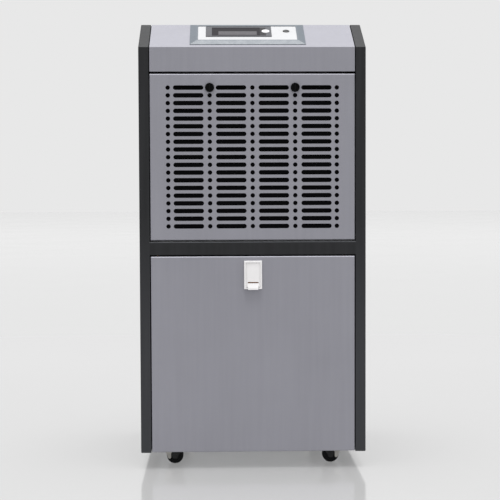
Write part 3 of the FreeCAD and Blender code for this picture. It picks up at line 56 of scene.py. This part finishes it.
# ---------------------------------------------------------------- material helpers
class Nodes:
    """Short calls for building one material's node tree."""

    def __init__(self, name):
        self.material = bpy.data.materials.new(name)
        self.material.use_nodes = True
        self.tree = self.material.node_tree
        self.shader = self.tree.nodes["Principled BSDF"]
        self.place = self.add("ShaderNodeTexCoord").outputs["Object"]

    def add(self, kind, **settings):
        node = self.tree.nodes.new(kind)
        for key, value in settings.items():
            setattr(node, key, value)
        return node

    def link(self, source, target):
        self.tree.links.new(source, target)

    def set(self, **values):
        for key, value in values.items():
            self.shader.inputs[key.replace("_", " ")].default_value = value

    def scaled(self, scale):
        """Object coordinates, stretched by scale along each axis."""
        mapping = self.add("ShaderNodeMapping")
        mapping.inputs["Scale"].default_value = scale
        self.link(self.place, mapping.inputs["Vector"])
        return mapping.outputs["Vector"]

    def noise(self, scale, detail=3.0, roughness=0.55, stretch=None):
        node = self.add("ShaderNodeTexNoise")
        node.inputs["Scale"].default_value = scale
        node.inputs["Detail"].default_value = detail
        node.inputs["Roughness"].default_value = roughness
        self.link(self.scaled(stretch) if stretch else self.place, node.inputs["Vector"])
        return node.outputs["Fac"]

    def cells(self, scale, feature="F1"):
        node = self.add("ShaderNodeTexVoronoi", feature=feature)
        node.inputs["Scale"].default_value = scale
        self.link(self.place, node.inputs["Vector"])
        return node.outputs["Distance"]

    def ramp(self, value, low, high, start=0.0, end=1.0):
        """Maps value from low..high to start..end."""
        node = self.add("ShaderNodeMapRange")
        node.inputs["From Min"].default_value = low
        node.inputs["From Max"].default_value = high
        node.inputs["To Min"].default_value = start
        node.inputs["To Max"].default_value = end
        self.link(value, node.inputs["Value"])
        return node.outputs["Result"]

    def mix(self, factor, first, second):
        """A colour between first and second; each is a colour or a socket."""
        node = self.add("ShaderNodeMix", data_type="RGBA")
        self.link(factor, node.inputs["Factor"])
        for socket, value in ((node.inputs[6], first), (node.inputs[7], second)):
            if hasattr(value, "is_linked"):
                self.link(value, socket)
            else:
                socket.default_value = (*value, 1.0)
        return node.outputs[2]

    def maths(self, operation, first, second):
        node = self.add("ShaderNodeMath", operation=operation)
        for socket, value in zip(node.inputs, (first, second)):
            if hasattr(value, "is_linked"):
                self.link(value, socket)
            else:
                socket.default_value = value
        return node.outputs[0]

    def height(self):
        split = self.add("ShaderNodeSeparateXYZ")
        self.link(self.place, split.inputs["Vector"])
        return split.outputs["Z"]

    def panel_place(self):
        """The control panel's own coordinates: across, up the slope and out of it."""
        mapping = self.add("ShaderNodeMapping")
        turn = Matrix.Rotation(-SLOPE_ANGLE, 3, "X")
        mapping.inputs["Rotation"].default_value = (-SLOPE_ANGLE, 0.0, 0.0)
        mapping.inputs["Location"].default_value = -(turn @ SLOPE_FOOT)
        self.link(self.place, mapping.inputs["Vector"])
        return mapping.outputs["Vector"]

    def inside(self, vector, lowest, highest, soft=0.0003):
        """1 inside the box from lowest to highest, and 0 outside; None leaves an axis open."""
        split = self.add("ShaderNodeSeparateXYZ")
        self.link(vector, split.inputs["Vector"])
        mask = None
        for axis, low, high in zip(split.outputs, lowest, highest):
            if low is None:
                continue
            rise = self.ramp(axis, low - soft, low + soft)
            fall = self.ramp(axis, high + soft, high - soft)
            both = self.maths("MULTIPLY", rise, fall)
            mask = self.maths("MULTIPLY", mask, both) if mask else both
        return mask

    def dot(self, vector, centre, radius, soft=0.0003):
        """1 within radius of centre, measured across the vector's first two axes."""
        flat = self.add("ShaderNodeVectorMath", operation="MULTIPLY")
        flat.inputs[1].default_value = (1.0, 1.0, 0.0)
        self.link(vector, flat.inputs[0])
        distance = self.add("ShaderNodeVectorMath", operation="DISTANCE")
        distance.inputs[1].default_value = (*centre, 0.0)
        self.link(flat.outputs[0], distance.inputs[0])
        return self.ramp(distance.outputs["Value"], radius + soft, radius - soft)

    def colour(self, source):
        self.link(source, self.shader.inputs["Base Color"])

    def roughness(self, source):
        self.link(source, self.shader.inputs["Roughness"])

    def bump(self, height, distance, strength=1.0):
        node = self.add("ShaderNodeBump")
        node.inputs["Distance"].default_value = distance
        node.inputs["Strength"].default_value = strength
        self.link(height, node.inputs["Height"])
        previous = self.shader.inputs["Normal"].links
        if previous:
            self.link(previous[0].from_socket, node.inputs["Normal"])
        self.link(node.outputs["Normal"], self.shader.inputs["Normal"])


def lighter(colour, factor):
    return tuple(min(c * factor, 1.0) for c in colour)


def powder_coat(name, colour, roughness=0.42, grain=0.00003, specular=0.45, streaks=0.04,
                lower_highlight=None, fold=None, fold_highlight=2.1):
    """Baked powder paint: fine orange peel, faint upright streaks, a trace of cloud and uneven gloss.

    A first factor paints it paler towards the floor, a painted highlight; fold is the height of a top fold,
    and the last factor paints a highlight line just below it that much paler.
    """
    n = Nodes(name)
    clouds = n.noise(7.0, detail=4.0)
    tone = n.mix(n.ramp(clouds, 0.3, 0.7), lighter(colour, 0.965), lighter(colour, 1.025))
    # painted highlight: the paint is paler towards the floor, by height
    if lower_highlight:
        tone = n.mix(n.ramp(n.height(), LOWER_HIGHLIGHT_STARTS, LOWER_HIGHLIGHT_FULL), tone, lighter(colour, lower_highlight))
    # painted highlight: a pale line just below the top fold
    if fold:
        fold_highlight_band = n.inside(n.place, (None, None, fold - FOLD_HIGHLIGHT_FROM), (None, None, fold - FOLD_HIGHLIGHT_TO))
        tone = n.mix(fold_highlight_band, tone, lighter(colour, fold_highlight))
    brushed = n.noise(95.0, stretch=(1.0, 1.0, 0.035))
    n.colour(n.mix(n.ramp(brushed, 0.35, 0.65, 0.0, streaks), tone, lighter(colour, 2.0)))
    n.roughness(n.ramp(n.noise(26.0), 0.3, 0.7, roughness - 0.035, roughness + 0.045))
    n.bump(n.noise(1500.0, detail=2.0), grain, 0.5)
    n.bump(n.noise(320.0, detail=2.0), grain * 2.5, 0.35)
    n.set(Specular_IOR_Level=specular)
    return n.material


def moulded(name, colour, roughness=0.4, grain=0.00004, coat=0.0, specular=0.45):
    """Moulded plastic with a spark-eroded grain."""
    n = Nodes(name)
    shade = n.noise(18.0, detail=4.0)
    n.colour(n.mix(n.ramp(shade, 0.3, 0.7), lighter(colour, 0.97), lighter(colour, 1.03)))
    n.roughness(n.ramp(n.noise(90.0), 0.3, 0.7, roughness - 0.04, roughness + 0.05))
    n.bump(n.cells(1300.0), grain, 0.5)
    n.set(Coat_Weight=coat, Coat_Roughness=0.12, Specular_IOR_Level=specular)
    return n.material


def sheet_metal(name, colour, roughness=0.36):
    """Galvanised sheet: spangle patches, rolling streaks and a little dulling."""
    n = Nodes(name)
    spangle = n.cells(85.0)
    tone = n.mix(n.ramp(spangle, 0.1, 0.8), lighter(colour, 0.86), lighter(colour, 1.08))
    n.colour(n.mix(n.ramp(n.noise(5.0), 0.35, 0.75), tone, lighter(colour, 0.8)))
    n.roughness(n.ramp(spangle, 0.0, 0.8, roughness - 0.08, roughness + 0.12))
    n.bump(n.noise(700.0, stretch=(1.0, 1.0, 0.08)), 0.00003, 0.5)
    n.set(Metallic=1.0)
    return n.material


def plated(name, colour, roughness=0.25):
    """Zinc or chrome plate with fine scratches and fingerprints."""
    n = Nodes(name)
    haze = n.noise(60.0, detail=5.0)
    n.colour(n.mix(n.ramp(haze, 0.35, 0.7), colour, lighter(colour, 0.82)))
    n.roughness(n.ramp(haze, 0.3, 0.7, roughness - 0.06, roughness + 0.12))
    n.bump(n.noise(900.0, stretch=(1.0, 0.1, 1.0)), 0.00002, 0.4)
    n.set(Metallic=1.0)
    return n.material


def fin_stock(name, colour):
    """Bright aluminium fins, with a little dust in patches."""
    n = Nodes(name)
    streaks = n.noise(240.0, stretch=(1.0, 1.0, 0.05))
    dust = n.ramp(n.noise(14.0, detail=5.0), 0.42, 0.72)
    n.colour(n.mix(dust, colour, lighter(colour, 0.72)))
    n.roughness(n.ramp(streaks, 0.3, 0.7, 0.3, 0.5))
    n.bump(streaks, 0.00005, 0.6)
    n.set(Metallic=0.9)
    return n.material


def copper_tube(name):
    n = Nodes(name)
    stain = n.noise(40.0, detail=5.0)
    n.colour(n.mix(n.ramp(stain, 0.4, 0.72), (0.78, 0.39, 0.25), (0.36, 0.16, 0.09)))
    n.roughness(n.ramp(stain, 0.3, 0.75, 0.22, 0.48))
    n.bump(n.noise(500.0), 0.00003, 0.4)
    n.set(Metallic=1.0)
    return n.material


def rubber(name, colour):
    n = Nodes(name)
    n.colour(n.mix(n.ramp(n.noise(70.0, detail=5.0), 0.35, 0.7), colour, lighter(colour, 1.9)))
    n.roughness(n.ramp(n.noise(120.0), 0.3, 0.7, 0.62, 0.8))
    n.bump(n.noise(1100.0), 0.00006, 0.6)
    return n.material


def translucent_tank(name):
    """Natural polyethylene: milky, with light soaking through it and a waterline haze."""
    n = Nodes(name)
    haze = n.noise(9.0, detail=4.0)
    n.colour(n.mix(n.ramp(haze, 0.35, 0.7), (0.80, 0.83, 0.84), (0.72, 0.76, 0.78)))
    n.roughness(n.ramp(n.noise(60.0), 0.3, 0.7, 0.32, 0.44))
    n.bump(n.noise(300.0), 0.00005, 0.4)
    n.set(Transmission_Weight=0.25, Subsurface_Weight=0.3, Subsurface_Scale=0.01)
    return n.material


def filter_cloth(name):
    """Black knitted filter mesh: square cells with thin threads."""
    n = Nodes(name)
    across = n.add("ShaderNodeTexWave", wave_type="BANDS", bands_direction="X")
    up = n.add("ShaderNodeTexWave", wave_type="BANDS", bands_direction="Z")
    for wave in (across, up):
        wave.inputs["Scale"].default_value = 160.0
        n.link(n.place, wave.inputs["Vector"])
    threads = n.maths("MAXIMUM", across.outputs["Fac"], up.outputs["Fac"])
    n.colour(n.mix(n.ramp(threads, 0.55, 0.9), (0.0006, 0.0006, 0.0008), (0.004, 0.004, 0.005)))
    n.roughness(n.ramp(threads, 0.0, 1.0, 0.95, 0.75))
    n.bump(threads, 0.0004, 0.9)
    n.set(Specular_IOR_Level=0.05)
    return n.material


def circuit_board(name):
    """Solder mask over copper tracks, with pads."""
    n = Nodes(name)
    brick = n.add("ShaderNodeTexBrick")
    brick.inputs["Scale"].default_value = 190.0
    brick.inputs["Mortar Size"].default_value = 0.03
    n.link(n.place, brick.inputs["Vector"])
    tracks = n.mix(brick.outputs["Fac"], (0.015, 0.14, 0.05), (0.03, 0.24, 0.09))
    pads = n.ramp(n.cells(420.0), 0.16, 0.2)
    n.colour(n.mix(pads, (0.7, 0.66, 0.5), tracks))
    n.roughness(n.ramp(pads, 0.0, 1.0, 0.3, 0.42))
    n.bump(brick.outputs["Fac"], 0.00004, 0.5)
    return n.material


DISPLAY_BLACK = (0.006, 0.005, 0.007)


def display_window(name):
    """Smoked acrylic over the display: nearly black, with the grey liquid-crystal bar behind it."""
    n = Nodes(name)
    wipes = n.noise(35.0, detail=5.0, stretch=(0.3, 1.0, 1.0))
    smoke = n.mix(n.ramp(wipes, 0.3, 0.8), DISPLAY_BLACK, lighter(DISPLAY_BLACK, 2.2))
    cells = n.ramp(n.cells(380.0), 0.1, 0.7)
    bar = n.mix(cells, (0.060, 0.056, 0.062), (0.095, 0.092, 0.098))
    lit = n.inside(n.panel_place(), (*CRYSTAL_BAR[0], None), (*CRYSTAL_BAR[1], None))
    n.colour(n.mix(lit, smoke, bar))
    n.roughness(n.ramp(wipes, 0.3, 0.7, 0.42, 0.55))
    n.bump(n.noise(25.0), 0.00004, 0.2)
    n.set(Specular_IOR_Level=0.12)
    return n.material


def display_surround(name, colour):
    """Satin grey surround, with the window's black carried on as far as the mode button."""
    n = Nodes(name)
    shade = n.noise(18.0, detail=4.0)
    grey = n.mix(n.ramp(shade, 0.3, 0.7), lighter(colour, 0.92), lighter(colour, 1.08))
    dark = n.inside(n.panel_place(), (*DARK_MARGIN[0], None), (*DARK_MARGIN[1], None))
    n.colour(n.mix(dark, grey, DISPLAY_BLACK))
    n.roughness(n.ramp(n.noise(90.0), 0.3, 0.7, 0.42, 0.52))
    n.bump(n.cells(1300.0), 0.00003, 0.5)
    n.set(Specular_IOR_Level=0.25)
    return n.material


def mode_key(name, colour):
    """White key with a row of three grey dots."""
    n = Nodes(name)
    white = n.mix(n.ramp(n.noise(40.0), 0.3, 0.7), lighter(colour, 0.97), colour)
    place = n.panel_place()
    dots = None
    for offset in (-KEY_DOT_PITCH, 0.0, KEY_DOT_PITCH):
        spot = n.dot(place, (MODE_KEY_CENTRE[0] + offset, MODE_KEY_CENTRE[1]), KEY_DOT_RADIUS)
        dots = n.maths("MAXIMUM", dots, spot) if dots else spot
    n.colour(n.mix(dots, white, (0.22, 0.15, 0.16)))
    n.roughness(n.ramp(n.noise(90.0), 0.3, 0.7, 0.28, 0.38))
    n.bump(n.cells(1300.0), 0.00002, 0.4)
    return n.material


def latch_case(name, colour):
    """White case with a brown friction pad at the bottom of its pocket, seen through the paddle's slit."""
    n = Nodes(name)
    white = n.mix(n.ramp(n.noise(18.0, detail=4.0), 0.3, 0.7), lighter(colour, 0.96), colour)
    pad = n.inside(n.place, PAD_LOW, PAD_HIGH)
    n.colour(n.mix(pad, white, (0.80, 0.36, 0.17)))
    n.roughness(n.ramp(n.noise(90.0), 0.3, 0.7, 0.26, 0.36))
    n.bump(n.cells(1300.0), 0.00002, 0.4)
    return n.material


# ---------------------------------------------------------------- materials by record slot
CHARCOAL = (0.0125, 0.013, 0.0145)
PANEL_GREY = (0.257, 0.256, 0.290)
WHITE = (0.86, 0.845, 0.85)

finishes = {
    # the charcoal's paler lower part is a painted highlight
    "charcoal_paint": powder_coat("charcoal_paint", CHARCOAL, 0.46, specular=0.27, streaks=0.35, lower_highlight=3.0),
    "grey_paint": powder_coat("grey_paint", PANEL_GREY, 0.42),
    "zinc_sheet": sheet_metal("zinc_sheet", (0.40, 0.41, 0.43), 0.46),
    "zinc_hardware": plated("zinc_hardware", (0.66, 0.65, 0.62)),
    "black_hardware": powder_coat("black_hardware", (0.010, 0.010, 0.011), 0.4, specular=0.3),
    "black_plastic": moulded("black_plastic", (0.006, 0.006, 0.007), 0.45, specular=0.15),
    "black_gloss": moulded("black_gloss", (0.012, 0.012, 0.014), 0.3, 0.00001, 0.2),
    "white_plastic": moulded("white_plastic", WHITE, 0.3, 0.00001, 0.1),
    "bezel_plastic": moulded("bezel_plastic", (0.100, 0.118, 0.139), 0.42, 0.00003),
    "surround_plastic": display_surround("surround_plastic", (0.072, 0.074, 0.082)),
    "lens_plastic": display_window("lens_plastic"),
    "aluminium_fin": fin_stock("aluminium_fin", (0.62, 0.63, 0.65)),
    "copper": copper_tube("copper"),
    "compressor_paint": powder_coat("compressor_paint", (0.014, 0.014, 0.016), 0.3, 0.00008),
    "rubber": rubber("rubber", (0.016, 0.016, 0.016)),
    "wheel_plastic": moulded("wheel_plastic", (0.004, 0.004, 0.005), 0.45, 0.00006, specular=0.12),
    "tank_plastic": translucent_tank("tank_plastic"),
    "float_foam": rubber("float_foam", (0.62, 0.61, 0.57)),
    "filter_mesh": filter_cloth("filter_mesh"),
    "grey_plastic": moulded("grey_plastic", (0.20, 0.21, 0.225), 0.45),
    "circuit_board": circuit_board("circuit_board"),
}

# pieces whose own marks or tone differ from their slot's
knob_black = moulded("knob_black", (0.002, 0.002, 0.0025), 0.5, specular=0.09)
own_finishes = {
    "grille_knob_left": knob_black,
    "grille_knob_right": knob_black,
    # the pale lines along the top folds of the grille, door and crossbar are painted highlights
    "grille_panel": powder_coat("grille_paint", PANEL_GREY, fold=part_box("grille_panel")[1].z),
    "door_panel": powder_coat("door_paint", PANEL_GREY, fold=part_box("door_panel")[1].z),
    "crossbar": powder_coat("crossbar_paint", CHARCOAL, 0.46, specular=0.27, streaks=0.35,
                            fold=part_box("crossbar")[1].z, fold_highlight=6.0),
    "filter_frame": moulded("filter_frame", (0.001, 0.001, 0.001), 0.6, specular=0.03),
    "caster_brake_front_left": plated("brake_left", (0.36, 0.35, 0.33), 0.34),
    "caster_brake_front_right": plated("brake_right", (0.36, 0.35, 0.33), 0.34),
    "mode_button": mode_key("mode_button", (0.62, 0.62, 0.63)),
    "latch_housing": latch_case("latch_housing", WHITE),
    "control_label": moulded("control_label", (0.455, 0.46, 0.47), 0.4, 0.00001),
}

node_slots = {part["node"]: part["material_slot"] for part in frame["record"]["subparts"]}
for node, obj in frame["nodes"].items():
    finish = own_finishes.get(node, finishes[node_slots[node]])
    if not obj.material_slots:
        obj.data.materials.append(finish)
    for place in obj.material_slots:
        place.link = "OBJECT"
        place.material = finish


# ---------------------------------------------------------------- floor, light and camera
def area_light(name, place, target, size, power):
    data = bpy.data.lights.new(name, "AREA")
    data.shape = "RECTANGLE"
    data.size, data.size_y = size
    data.energy = power
    light = bpy.data.objects.new(name, data)
    light.location = place
    light.rotation_euler = (Vector(target) - Vector(place)).to_track_quat("-Z", "Y").to_euler()
    light.visible_camera = False
    light.visible_glossy = False
    bpy.context.collection.objects.link(light)
    return light


def limit_to_floor(lamp, floor, link_state):
    """Lets a lamp light the floor alone (INCLUDE) or all but the floor (EXCLUDE)."""
    receivers = bpy.data.collections.new(lamp.name + "_receivers")
    receivers.objects.link(floor)
    receivers.collection_objects[0].light_linking.link_state = link_state
    lamp.light_linking.receiver_collection = receivers


def overhead_lamp(name, energy, floor, link_state):
    """A lamp from straight above, which lights all but the floor (EXCLUDE) or the floor alone (INCLUDE)."""
    data = bpy.data.lights.new(name, "SUN")
    data.energy = energy
    data.angle = OVERHEAD_SPREAD
    lamp = bpy.data.objects.new(name, data)
    lamp.rotation_euler = (OVERHEAD_TILT, 0.0, 0.0)
    bpy.context.collection.objects.link(lamp)
    limit_to_floor(lamp, floor, link_state)
    return lamp


def studio_floor():
    """A wide pale floor with a slight polish, about as bright as the world, so the horizon hardly shows."""
    mesh = bmesh.new()
    corners = ((-1, -1), (1, -1), (1, 1), (-1, 1))
    mesh.faces.new([mesh.verts.new((x * FLOOR_REACH, y * FLOOR_REACH, 0.0)) for x, y in corners])
    data = bpy.data.meshes.new("studio_floor")
    mesh.to_mesh(data)
    mesh.free()
    floor = bpy.data.objects.new("studio_floor", data)
    bpy.context.collection.objects.link(floor)
    n = Nodes("studio_floor")
    n.colour(n.mix(n.ramp(n.noise(1.5), 0.3, 0.7), lighter(FLOOR_TONE, 0.995), lighter(FLOOR_TONE, 1.005)))
    n.roughness(n.ramp(n.noise(0.8), 0.3, 0.7, 0.10, 0.12))
    n.set(IOR=1.6)
    data.materials.append(n.material)
    return floor


BACKGROUND = 0.807
OVERHEAD = 4.0
OVERHEAD_SPREAD = math.radians(40.0)
OVERHEAD_TILT = math.radians(2.0)
FLOOR_SHADED = 0.35
FLOOR_TONE = (0.378, 0.378, 0.378)
FLOOR_REACH = 40.0
floor = studio_floor()
world = bpy.data.worlds.new("studio")
bpy.context.scene.world = world
world.use_nodes = True
world.node_tree.nodes["Background"].inputs["Color"].default_value = (1.0, 1.0, 1.0, 1.0)
world.node_tree.nodes["Background"].inputs["Strength"].default_value = BACKGROUND

# one very soft lamp from straight above for the machine; on the floor two thirds of it cast no shadow
overhead_lamp("overhead", OVERHEAD, floor, "EXCLUDE")
overhead_lamp("floor_shaded", FLOOR_SHADED * OVERHEAD, floor, "INCLUDE")
overhead_lamp("floor_fill", (1.0 - FLOOR_SHADED) * OVERHEAD, floor, "INCLUDE").data.use_shadow = False

area_light("left_front", (-2.6, -2.6, 1.7), (0.0, 0.0, 0.5), (1.4, 1.8), 1.2)
area_light("right_front", (2.7, -2.4, 1.6), (0.0, 0.0, 0.5), (1.4, 1.8), 2.4)
front_low = area_light("front_low", (0.0, -2.1, 0.22), (0.0, FRONT_Y, 0.05), (1.6, 0.3), 3.0)
limit_to_floor(front_low, floor, "EXCLUDE")

# the camera stands a little to the left and looks slightly down
YAW, PITCH, ROLL = math.radians(1.474), math.radians(2.581), math.radians(-0.211)
CAMERA_PLACE = Vector((-0.07325, FRONT_Y - 2.60364, 0.5845))
camera_data = bpy.data.cameras.new("camera")
camera_data.lens = 88.5
camera_data.sensor_width = 36.0
camera = bpy.data.objects.new("camera", camera_data)
bpy.context.collection.objects.link(camera)
forward = Vector((math.sin(YAW) * math.cos(PITCH), math.cos(YAW) * math.cos(PITCH), -math.sin(PITCH)))
level = Vector((math.cos(YAW), -math.sin(YAW), 0.0))
upright = level.cross(forward)
right = math.cos(ROLL) * level + math.sin(ROLL) * upright
up = -math.sin(ROLL) * level + math.cos(ROLL) * upright
camera.matrix_world = Matrix((
    (right.x, up.x, -forward.x, CAMERA_PLACE.x),
    (right.y, up.y, -forward.y, CAMERA_PLACE.y),
    (right.z, up.z, -forward.z, CAMERA_PLACE.z),
    (0.0, 0.0, 0.0, 1.0),
))
bpy.context.scene.camera = camera
bpy.context.scene.view_settings.view_transform = "Standard"
